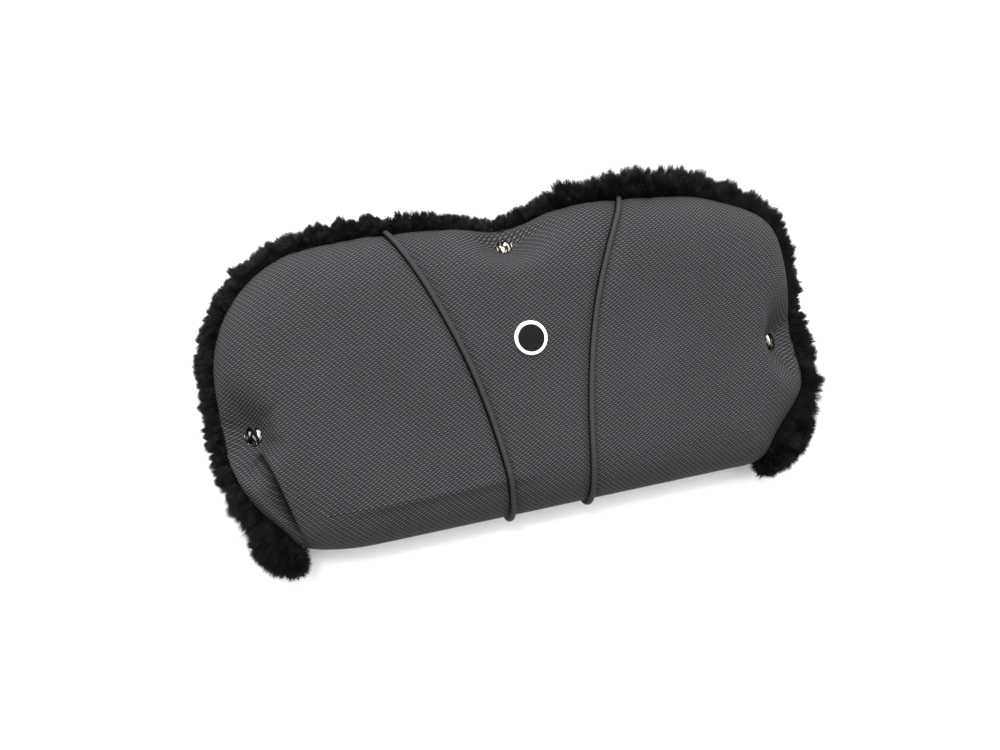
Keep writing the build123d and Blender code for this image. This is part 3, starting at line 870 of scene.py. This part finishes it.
def strands(name, roots, directions, bends, lengths, widths, material):
    """Tapered three-sided strands of pile, each a closed mesh apart from its root."""
    count = len(roots)
    along = directions / np.linalg.norm(directions, axis=1, keepdims=True)
    guide = np.where(abs(along[:, 2:]) < 0.8, [[0.0, 0.0, 1.0]], [[1.0, 0.0, 0.0]])
    first = np.cross(along, guide)
    first /= np.linalg.norm(first, axis=1, keepdims=True)
    second = np.cross(along, first)
    levels, taper = (0.0, 0.4, 0.75), (1.0, 0.85, 0.5)
    rings = []
    for level, share in zip(levels, taper):
        centre = roots + along * (lengths * level)[:, None] + bends * level ** 2
        for k in range(3):
            angle = 2 * math.pi * k / 3
            spoke = first * math.cos(angle) + second * math.sin(angle)
            rings.append(centre + spoke * (widths * share / 2)[:, None])
    rings.append(roots + along * lengths[:, None] + bends)
    points = np.stack(rings, 1)
    points[:, :, 2] = np.maximum(points[:, :, 2], 0.0006)
    pattern = [(r + k, r + (k + 1) % 3, r + 3 + (k + 1) % 3, r + 3 + k) for r in (0, 3) for k in range(3)]
    tips = [(6 + k, 6 + (k + 1) % 3, 9) for k in range(3)]
    base = np.arange(count)[:, None] * 10
    loops = np.concatenate([base + np.array(part).reshape(1, -1) for part in (pattern, tips)], 1)
    sizes = np.tile([4] * 6 + [3] * 3, count)
    mesh = bpy.data.meshes.new(name)
    mesh.vertices.add(count * 10)
    mesh.vertices.foreach_set("co", points.astype(np.float32).ravel())
    mesh.loops.add(loops.size)
    mesh.loops.foreach_set("vertex_index", loops.astype(np.int32).ravel())
    mesh.polygons.add(len(sizes))
    mesh.polygons.foreach_set("loop_start", np.concatenate([[0], np.cumsum(sizes)[:-1]]).astype(np.int32))
    mesh.polygons.foreach_set("use_smooth", np.ones(len(sizes), bool))
    mesh.materials.append(material)
    point_values(mesh, "tip", np.tile(np.repeat([*levels, 1.0], [3, 3, 3, 1]), count))
    mesh.update(calc_edges=True)
    mesh.validate()
    piece = bpy.data.objects.new(name, mesh)
    bpy.context.scene.collection.objects.link(piece)
    return piece


def rim_roots(between, first, last, count, side):
    """Random roots on the rim between two loop points: places, outward directions, loop positions."""
    rings = np.stack(between)
    m = rng.uniform(first, last, count)
    k = rng.uniform(0, len(between) - 1.001, count)
    m0, k0 = np.floor(m).astype(int), np.floor(k).astype(int)
    past_m, past_k = (m - m0)[:, None], (k - k0)[:, None]
    a, b = rings[k0, m0 % N_LOOP], rings[k0, (m0 + 1) % N_LOOP]
    c, d = rings[k0 + 1, m0 % N_LOOP], rings[k0 + 1, (m0 + 1) % N_LOOP]
    upper = a * (1 - past_m) + b * past_m
    lower = c * (1 - past_m) + d * past_m
    place = upper * (1 - past_k) + lower * past_k
    normal = np.cross((b - a) + (d - c), (c - a) + (d - b)) * -side
    return place, normal / np.linalg.norm(normal, axis=1, keepdims=True), m


def clumped(roots, size):
    """Pulls each root's tip towards the middle of its tuft: the pull and a shared lean."""
    cells = np.floor((roots + rng.normal(0, 0.09 * size, roots.shape)) / size).astype(np.int64)
    keys, where = np.unique(cells, axis=0, return_inverse=True)
    where = where.reshape(-1)
    middles = np.zeros((len(keys), 3))
    np.add.at(middles, where, roots)
    middles /= np.bincount(where)[:, None]
    lean = rng.normal(0, 1, (len(keys), 3))
    reach = rng.uniform(0.75, 1.15, len(keys))
    return middles[where] - roots, lean[where], reach[where]


def make_rim_fur(half, between, material):
    """Long pile all round the open edges of one half, in several pieces."""
    side = 1 if half == "front" else -1
    edges = np.linspace(N_ACROSS, N_LOOP, RIM_PIECES + 1)
    lengths_round = np.unwrap(np.tile(loop_lengths(0, 0), 2), period=OUT_TOTAL)
    directions_known, reaches_known = np.array(PILE_REACH).T
    for number, (first, last) in enumerate(zip(edges[:-1], edges[1:])):
        roots, normals, m = rim_roots(between, first, last, RIM_STRANDS, side)
        t = np.interp(m, np.arange(2 * N_LOOP), lengths_round)
        outward = np.column_stack([outline_normal(t), 0 * m])
        pull, lean, share = clumped(roots, 0.0050)
        bearing = np.degrees(np.arctan2(roots[:, 1], roots[:, 0]))
        reach = np.interp(bearing, directions_known, reaches_known) - 0.004
        lengths = reach * share * rng.uniform(0.80, 1.15, len(roots)) * (1 + 0.10 * np.sin(m * 0.9))
        directions = 0.50 * normals + 0.85 * outward + 0.13 * lean + rng.normal(0, 0.08, roots.shape)
        bends = pull * 0.6 + lean * 0.0008
        bends[:, 2] -= 0.0030 if side > 0 else -0.0004
        widths = rng.uniform(0.00035, 0.00062, len(roots))
        piece = strands(f"{half}_rim_fur_{number + 1}", roots - normals * 0.001, directions, bends,
                        lengths, widths, material)
        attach(piece, FRONT if side > 0 else BACK)


def make_inner_fur(half, layer, bottom, material):
    """Short pile on the inner face of one half."""
    side = layer.side
    quads = np.array(layer.faces())
    corners = bottom[quads]
    quads = quads[~near_snap(corners.mean(1), 0.0125)]
    corners = bottom[quads]
    areas = np.linalg.norm(np.cross(corners[:, 2] - corners[:, 0], corners[:, 3] - corners[:, 1]), axis=1)
    chosen = rng.choice(len(quads), INNER_STRANDS, p=areas / areas.sum())
    u, v = rng.uniform(0, 1, (2, INNER_STRANDS, 1))
    c = corners[chosen]
    roots = (c[:, 0] * (1 - u) + c[:, 1] * u) * (1 - v) + (c[:, 3] * (1 - u) + c[:, 2] * u) * v
    flow = np.column_stack([
        np.sin(23 * roots[:, 1] + 9 * roots[:, 0]),
        np.cos(19 * roots[:, 0] - 13 * roots[:, 1]),
        np.zeros(INNER_STRANDS),
    ])
    directions = flow + rng.normal(0, 0.55, roots.shape)
    directions[:, 2] = -side * 0.25
    lengths = rng.uniform(0.008, 0.013, INNER_STRANDS)
    bends = rng.normal(0, 0.0012, roots.shape)
    widths = rng.uniform(0.0008, 0.0013, INNER_STRANDS)
    tips = roots[:, 2] + directions[:, 2] / np.linalg.norm(directions, axis=1) * lengths
    over = np.maximum(0.0005 - side * (tips - MID_Z), 0)
    bends[:, 2] = side * over
    piece = strands(f"{half}_inner_fur", roots, directions, bends, lengths, widths, material)
    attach(piece, FRONT if side > 0 else BACK)


def make_fold_tufts(body_material, fur_material):
    """Tuft of pile where the lining turns round each end of the fold."""
    for hand, (x, y, radius, angle) in FOLD_TUFTS.items():
        centre = np.array([x, FOLD_Y + y, MID_Z])
        c, s = math.cos(math.radians(angle)), math.sin(math.radians(angle))
        turned = np.array([[c, -s, 0], [s, c, 0], [0, 0, 1]])
        rows, ring = 14, 24
        points, faces = [centre + (0, 0, -radius[2])], []
        for r in range(1, rows):
            level = math.pi * r / rows
            for k in range(ring):
                turn = 2 * math.pi * k / ring
                lump = 1 + 0.06 * math.sin(3 * turn + 4 * level) + 0.04 * math.sin(5 * turn)
                points.append(centre + turned @ (np.array(radius) * lump * (
                    math.sin(level) * math.cos(turn), math.sin(level) * math.sin(turn), -math.cos(level))))
        points.append(centre + (0, 0, radius[2]))
        end = len(points) - 1
        for k in range(ring):
            faces.append((0, 1 + (k + 1) % ring, 1 + k))
            faces.append((end, end - ring + k, end - ring + (k + 1) % ring))
        for r in range(rows - 2):
            for k in range(ring):
                a, b = 1 + r * ring + k, 1 + r * ring + (k + 1) % ring
                faces.append((a, b, b + ring, a + ring))
        body = mesh_object(f"fold_tuft_body_{hand}", points, faces, body_material)
        spots = rng.normal(0, 1, (TUFT_STRANDS, 3))
        spots /= np.linalg.norm(spots, axis=1, keepdims=True)
        roots = centre + (spots * np.array(radius) * 0.97) @ turned.T
        normals = (spots / np.array(radius)) @ turned.T
        normals /= np.linalg.norm(normals, axis=1, keepdims=True)
        pull, lean, share = clumped(roots, 0.004)
        directions = normals + 0.15 * lean + rng.normal(0, 0.12, roots.shape)
        lengths = rng.uniform(0.0045, 0.0095, TUFT_STRANDS) * (0.1 + 0.9 * share)
        bends = pull * 0.4
        bends[:, 2] -= 0.0015
        piece = strands(f"fold_tuft_fur_{hand}", roots, directions, bends, lengths,
                        rng.uniform(0.0004, 0.0007, TUFT_STRANDS), fur_material)
        for each in (body, piece):
            cross_fold(each)


# ---------------------------------------------------------------- snaps

def disc_on_axis(name, snap, side, low, high, radius, material):
    """Thin cloth disc round a snap's axis, between two heights above the parting plane."""
    place, lean = SNAPS[snap]
    origin = Vector((place[0], FOLD_Y + place[1], MID_Z))
    axis = Vector((math.sin(SNAP_LEAN) * lean[0], math.sin(SNAP_LEAN) * lean[1], math.cos(SNAP_LEAN)))
    first = axis.orthogonal().normalized()
    second = axis.cross(first)
    hole = 0.0022
    rounded = radius - 0.0003
    profile = [(hole, low), (rounded, low), (radius, (low + high) / 2), (rounded, high), (hole, high)]
    ring = 40
    points, faces = [], []
    for r, h in profile:
        for k in range(ring):
            turn = 2 * math.pi * k / ring
            spoke = first * math.cos(turn) + second * math.sin(turn)
            points.append(origin + axis * (side * h) + spoke * r)
    for p in range(len(profile)):
        q = (p + 1) % len(profile)
        for k in range(ring):
            n = (k + 1) % ring
            quad = (p * ring + k, p * ring + n, q * ring + n, q * ring + k)
            faces.append(quad if side > 0 else quad[::-1])
    return mesh_object(name, points, faces, material)


def make_patches(material):
    """Reinforcement disc under the shell at each snap."""
    heights = {"front": (FRONT_FLOOR - SHELL_THICKNESS - 0.0008, FRONT_FLOOR - SHELL_THICKNESS),
               "back": (BACK_FLOOR - SHELL_THICKNESS - 0.0008, BACK_FLOOR - SHELL_THICKNESS)}
    for half, (low, high) in heights.items():
        side = 1 if half == "front" else -1
        for snap in SNAPS:
            piece = disc_on_axis(f"{half}_patch_{snap}", snap, side, low, high, PATCH_RADIUS, material)
            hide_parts(f"{half}_snap_patch_{snap}")
            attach(piece, FRONT if side > 0 else BACK)


# ---------------------------------------------------------------- materials

def nodes_of(name):
    """New node material: the material, its tree and its Principled shader."""
    material = bpy.data.materials.new(name)
    material.use_nodes = True
    tree = material.node_tree
    return material, tree, tree.nodes["Principled BSDF"]


def link(tree, source, target):
    tree.links.new(source, target)


def math_node(tree, operation, a, b=None):
    node = tree.nodes.new("ShaderNodeMath")
    node.operation = operation
    for socket, value in zip(node.inputs, (a, b)):
        if value is None:
            continue
        if isinstance(value, (int, float)):
            socket.default_value = value
        else:
            link(tree, value, socket)
    return node.outputs[0]


def ramp_node(tree, factor, stops):
    node = tree.nodes.new("ShaderNodeValToRGB")
    while len(node.color_ramp.elements) < len(stops):
        node.color_ramp.elements.new(0.5)
    for element, (place, colour) in zip(node.color_ramp.elements, stops):
        element.position = place
        element.color = (*colour, 1)
    link(tree, factor, node.inputs[0])
    return node.outputs[0]


def bump_node(tree, shader, height, strength, distance):
    node = tree.nodes.new("ShaderNodeBump")
    node.inputs["Strength"].default_value = strength
    node.inputs["Distance"].default_value = distance
    link(tree, height, node.inputs["Height"])
    link(tree, node.outputs[0], shader.inputs["Normal"])


def noise_node(tree, vector, scale, detail=3.0):
    node = tree.nodes.new("ShaderNodeTexNoise")
    node.inputs["Scale"].default_value = scale
    node.inputs["Detail"].default_value = detail
    link(tree, vector, node.inputs["Vector"])
    return node.outputs[0]


# Dobby weave as a sum of waves: waves per metre across and along the cloth, strength
WEAVE = [(214, -385, 0.26), (6, -585, 0.21), (-416, -400, 0.12), (-208, -200, 0.09)]


def shell_fabric():
    """Dark grey dobby weave: slanting rows of light knots over a darker ground, darkened by painted shade
    along the deeper creases.
    """
    material, tree, shader = nodes_of("shell_fabric")
    source = tree.nodes.new("ShaderNodeAttribute")
    source.attribute_name = "cloth"
    mixed = math_node(tree, "MULTIPLY", noise_node(tree, source.outputs["Vector"], 800, 2), 0.55)
    patches = math_node(tree, "MULTIPLY", noise_node(tree, source.outputs["Vector"], 14), 0.14)
    mixed = math_node(tree, "ADD", mixed, patches)
    for across, along, strength in WEAVE:
        dot = tree.nodes.new("ShaderNodeVectorMath")
        dot.operation = "DOT_PRODUCT"
        dot.inputs[1].default_value = (2 * math.pi * across, 2 * math.pi * along, 0)
        link(tree, source.outputs["Vector"], dot.inputs[0])
        wave = math_node(tree, "COSINE", dot.outputs["Value"])
        mixed = math_node(tree, "ADD", mixed, math_node(tree, "MULTIPLY", wave, strength))
    colour = ramp_node(tree, mixed, [
        (0.05, (0.0095, 0.0089, 0.0099)),
        (0.35, (0.0255, 0.0240, 0.0264)),
        (0.85, (0.0860, 0.0825, 0.0888)),
    ])
    # Painted shade: the cloth attribute's third value darkens the weave by up to 92% along the deeper
    # creases.
    depth = tree.nodes.new("ShaderNodeSeparateXYZ")
    link(tree, source.outputs["Vector"], depth.inputs[0])
    shadow = tree.nodes.new("ShaderNodeVectorMath")
    shadow.operation = "SCALE"
    link(tree, colour, shadow.inputs[0])
    lit = math_node(tree, "SUBTRACT", 1.0, math_node(tree, "MULTIPLY", depth.outputs["Z"], 0.92))
    link(tree, lit, shadow.inputs["Scale"])
    link(tree, shadow.outputs["Vector"], shader.inputs["Base Color"])
    shader.inputs["Roughness"].default_value = 0.72
    shader.inputs["Specular IOR Level"].default_value = 0.10
    bump_node(tree, shader, mixed, 0.7, 0.0005)
    return material


def piping_fabric():
    """Ribbed bias binding, a little lighter than the shell, painted near-black as shade along its tucked
    seam.
    """
    material, tree, shader = nodes_of("piping_fabric")
    source = tree.nodes.new("ShaderNodeAttribute")
    source.attribute_name = "along"
    place = tree.nodes.new("ShaderNodeTexCoord")
    ribs = math_node(tree, "SINE", math_node(tree, "MULTIPLY", source.outputs["Fac"], 2 * math.pi / 0.0012))
    ribs = math_node(tree, "MULTIPLY", math_node(tree, "ADD", ribs, 1.0), 0.5)
    speckle = noise_node(tree, place.outputs["Object"], 1400, 2)
    halves = [math_node(tree, "MULTIPLY", pattern, 0.5) for pattern in (ribs, speckle)]
    mixed = math_node(tree, "ADD", *halves)
    # Painted shade: the seam attribute darkens the cover to near-black in the crevice of the tucked seam.
    seam = tree.nodes.new("ShaderNodeAttribute")
    seam.attribute_name = "seam"
    mixed = math_node(tree, "SUBTRACT", mixed, seam.outputs["Fac"])
    colour = ramp_node(tree, mixed, [
        (0.05, (0.0010, 0.0010, 0.0012)),
        (0.25, (0.0160, 0.0153, 0.0165)),
        (0.85, (0.0480, 0.0460, 0.0500)),
    ])
    link(tree, colour, shader.inputs["Base Color"])
    shader.inputs["Roughness"].default_value = 0.62
    shader.inputs["Specular IOR Level"].default_value = 0.12
    bump_node(tree, shader, mixed, 0.5, 0.0003)
    return material


def pile_material():
    """Black pile with slightly lighter, warmer tips."""
    material, tree, shader = nodes_of("faux_fur")
    tip = tree.nodes.new("ShaderNodeAttribute")
    tip.attribute_name = "tip"
    place = tree.nodes.new("ShaderNodeTexCoord")
    patches = noise_node(tree, place.outputs["Object"], 90)
    mixed = math_node(tree, "MULTIPLY", tip.outputs["Fac"], math_node(tree, "MULTIPLY", patches, 1.6))
    colour = ramp_node(tree, mixed, [
        (0.0, (0.0018, 0.0018, 0.0018)),
        (0.5, (0.0042, 0.0039, 0.0036)),
        (1.0, (0.0200, 0.0175, 0.0145)),
    ])
    link(tree, colour, shader.inputs["Base Color"])
    shader.inputs["Roughness"].default_value = 0.5
    shader.inputs["Specular IOR Level"].default_value = 0.12
    return material


def plain_material(name, colour, roughness, metallic=0.0, scale=400.0, bump=0.0002, spread=0.25, gloss=0.2):
    """Material with fine noise in its colour and surface."""
    material, tree, shader = nodes_of(name)
    place = tree.nodes.new("ShaderNodeTexCoord")
    grain = noise_node(tree, place.outputs["Object"], scale)
    dark = tuple(c * (1 - spread) for c in colour)
    light = tuple(min(c * (1 + spread), 1) for c in colour)
    link(tree, ramp_node(tree, grain, [(0.3, dark), (0.7, light)]), shader.inputs["Base Color"])
    shader.inputs["Roughness"].default_value = roughness
    shader.inputs["Metallic"].default_value = metallic
    shader.inputs["Specular IOR Level"].default_value = 0.5 if metallic else gloss
    bump_node(tree, shader, grain, 0.5, bump)
    return material


METALS = {
    "snap_socket": ("snap_metal", (0.35, 0.34, 0.33), 0.28),
    "snap_stud": ("snap_metal", (0.35, 0.34, 0.33), 0.28),
    "snap_post": ("snap_metal", (0.35, 0.34, 0.33), 0.28),
    "snap_spring": ("spring_wire", (0.55, 0.55, 0.55), 0.25),
    "badge_plate": ("badge_metal", (0.70, 0.70, 0.70), 0.34),
    "badge_push_nuts": ("spring_wire", (0.55, 0.55, 0.55), 0.25),
}


def metal_with_painted_reflections():
    """Dark nickel whose colour has bright and dark marks painted in as reflections, over the reflections
    its polish really gives.
    """
    material, tree, shader = nodes_of("cap_metal")
    place = tree.nodes.new("ShaderNodeTexCoord")
    stretch = tree.nodes.new("ShaderNodeVectorMath")
    stretch.operation = "MULTIPLY"
    stretch.inputs[1].default_value = (1.6, 0.7, 1.0)
    link(tree, place.outputs["Object"], stretch.inputs[0])
    # Painted reflections: stretched noise lays bright and dark bands in the caps' base colour.
    painted_reflections = noise_node(tree, stretch.outputs["Vector"], 330, 1)
    colour = ramp_node(tree, painted_reflections, [
        (0.44, (0.008, 0.0075, 0.0065)),
        (0.52, (0.040, 0.037, 0.032)),
        (0.60, (0.42, 0.39, 0.35)),
    ])
    link(tree, colour, shader.inputs["Base Color"])
    shader.inputs["Metallic"].default_value = 1.0
    shader.inputs["Roughness"].default_value = 0.18
    return material


def finish_metal():
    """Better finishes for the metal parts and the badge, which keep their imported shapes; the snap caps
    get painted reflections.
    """
    made = {}
    cap_metal = metal_with_painted_reflections()
    for name, node in frame["nodes"].items():
        if name.startswith("snap_cap"):
            node.data.materials.clear()
            node.data.materials.append(cap_metal)
        for start, (label, colour, roughness) in METALS.items():
            if name.startswith(start):
                if label not in made:
                    made[label] = plain_material(label, colour, roughness, 1.0, 900, 0.00003, 0.12)
                node.data.materials.clear()
                node.data.materials.append(made[label])
    inlay = frame["nodes"]["badge_inlay"]
    inlay.data.materials.clear()
    inlay.data.materials.append(
        plain_material("badge_inlay", (0.0035, 0.0035, 0.004), 0.5, 0.0, 700, 0.00005, 0.3, 0.10)
    )


# ---------------------------------------------------------------- the scene

def look_from():
    """Camera above the muff, leaning a little to its left, with the fold rising to the right."""
    lean = math.radians(16.15)
    roll = math.radians(79.85)
    back = Vector((-math.sin(lean), 0, math.cos(lean)))
    level = Vector((0, -1, 0))
    rise = back.cross(level)
    right = level * math.cos(roll) + rise * math.sin(roll)
    up = rise * math.cos(roll) - level * math.sin(roll)
    target = Vector((-0.0204, -0.015, MID_Z))
    camera = bpy.data.objects.new("camera", bpy.data.cameras.new("camera"))
    bpy.context.scene.collection.objects.link(camera)
    camera.data.sensor_width = 36
    camera.data.lens = 41.9
    place = target + back * 0.95
    camera.matrix_world = Matrix((
        (right.x, up.x, back.x, place.x),
        (right.y, up.y, back.y, place.y),
        (right.z, up.z, back.z, place.z),
        (0, 0, 0, 1),
    ))
    bpy.context.scene.camera = camera


def soft_light(name, place, size, power, target=(0, 0, 0.03)):
    data = bpy.data.lights.new(name, "AREA")
    data.shape = "DISK"
    data.size = size
    data.energy = power
    light = bpy.data.objects.new(name, data)
    bpy.context.scene.collection.objects.link(light)
    light.location = place
    light.rotation_mode = "QUATERNION"
    light.rotation_quaternion = (Vector(target) - Vector(place)).to_track_quat("-Z", "Y")


def studio():
    """Pale floor under a soft dome of light that is brighter towards the lobes, and two lights."""
    size = 6.0
    floor = mesh_object(
        "floor",
        [(-size, -size, -0.0006), (size, -size, -0.0006), (size, size, -0.0006), (-size, size, -0.0006)],
        [(0, 1, 2, 3)],
        plain_material("floor", (0.93, 0.93, 0.93), 0.9, scale=3, bump=0.0, spread=0.004),
    )
    world = bpy.data.worlds.new("world")
    world.use_nodes = True
    tree = world.node_tree
    place = tree.nodes.new("ShaderNodeTexCoord")
    towards = tree.nodes.new("ShaderNodeVectorMath")
    towards.operation = "DOT_PRODUCT"
    towards.inputs[1].default_value = tuple(Vector((0.02, 0.80, 0.60)).normalized())
    link(tree, place.outputs["Generated"], towards.inputs[0])
    glow = math_node(tree, "MAXIMUM", towards.outputs["Value"], 0.0)
    glow = math_node(tree, "ADD", math_node(tree, "MULTIPLY", glow, 3.7), 0.26)
    tree.nodes["Background"].inputs[0].default_value = (1, 1, 1, 1)
    link(tree, glow, tree.nodes["Background"].inputs[1])
    bpy.context.scene.world = world
    bpy.context.scene.view_settings.view_transform = "Standard"
    soft_light("key", (-0.55, 0.40, 1.4), 0.16, 5)
    soft_light("rim", (-0.15, 0.95, 1.2), 0.16, 5)


fur = pile_material()
fur_base = plain_material(
    "fur_backing", (0.0016, 0.0016, 0.0016), 1.0, scale=500, bump=0.0012, spread=0.5, gloss=0.02
)
layers = {side: shell_layer(side) for side in (1, -1)}
wadding = plain_material("wadding", (0.014, 0.014, 0.015), 0.95, scale=260, bump=0.0010, spread=0.06)
for side, half in ((1, "front"), (-1, "back")):
    make_wadding(layers[side], wadding)
    bottom, rim = make_lining(layers[side], fur_base)
    make_rim_fur(half, rim, fur)
    make_inner_fur(half, layers[side], bottom, fur)
make_fold_tufts(fur_base, fur)
make_shell(layers, shell_fabric())
make_piping(layers, piping_fabric(), plain_material("piping_cord", (0.55, 0.54, 0.52), 0.9, scale=900))
make_patches(plain_material("snap_patch", (0.03, 0.03, 0.032), 0.85, scale=1200))
finish_metal()
look_from()
studio()
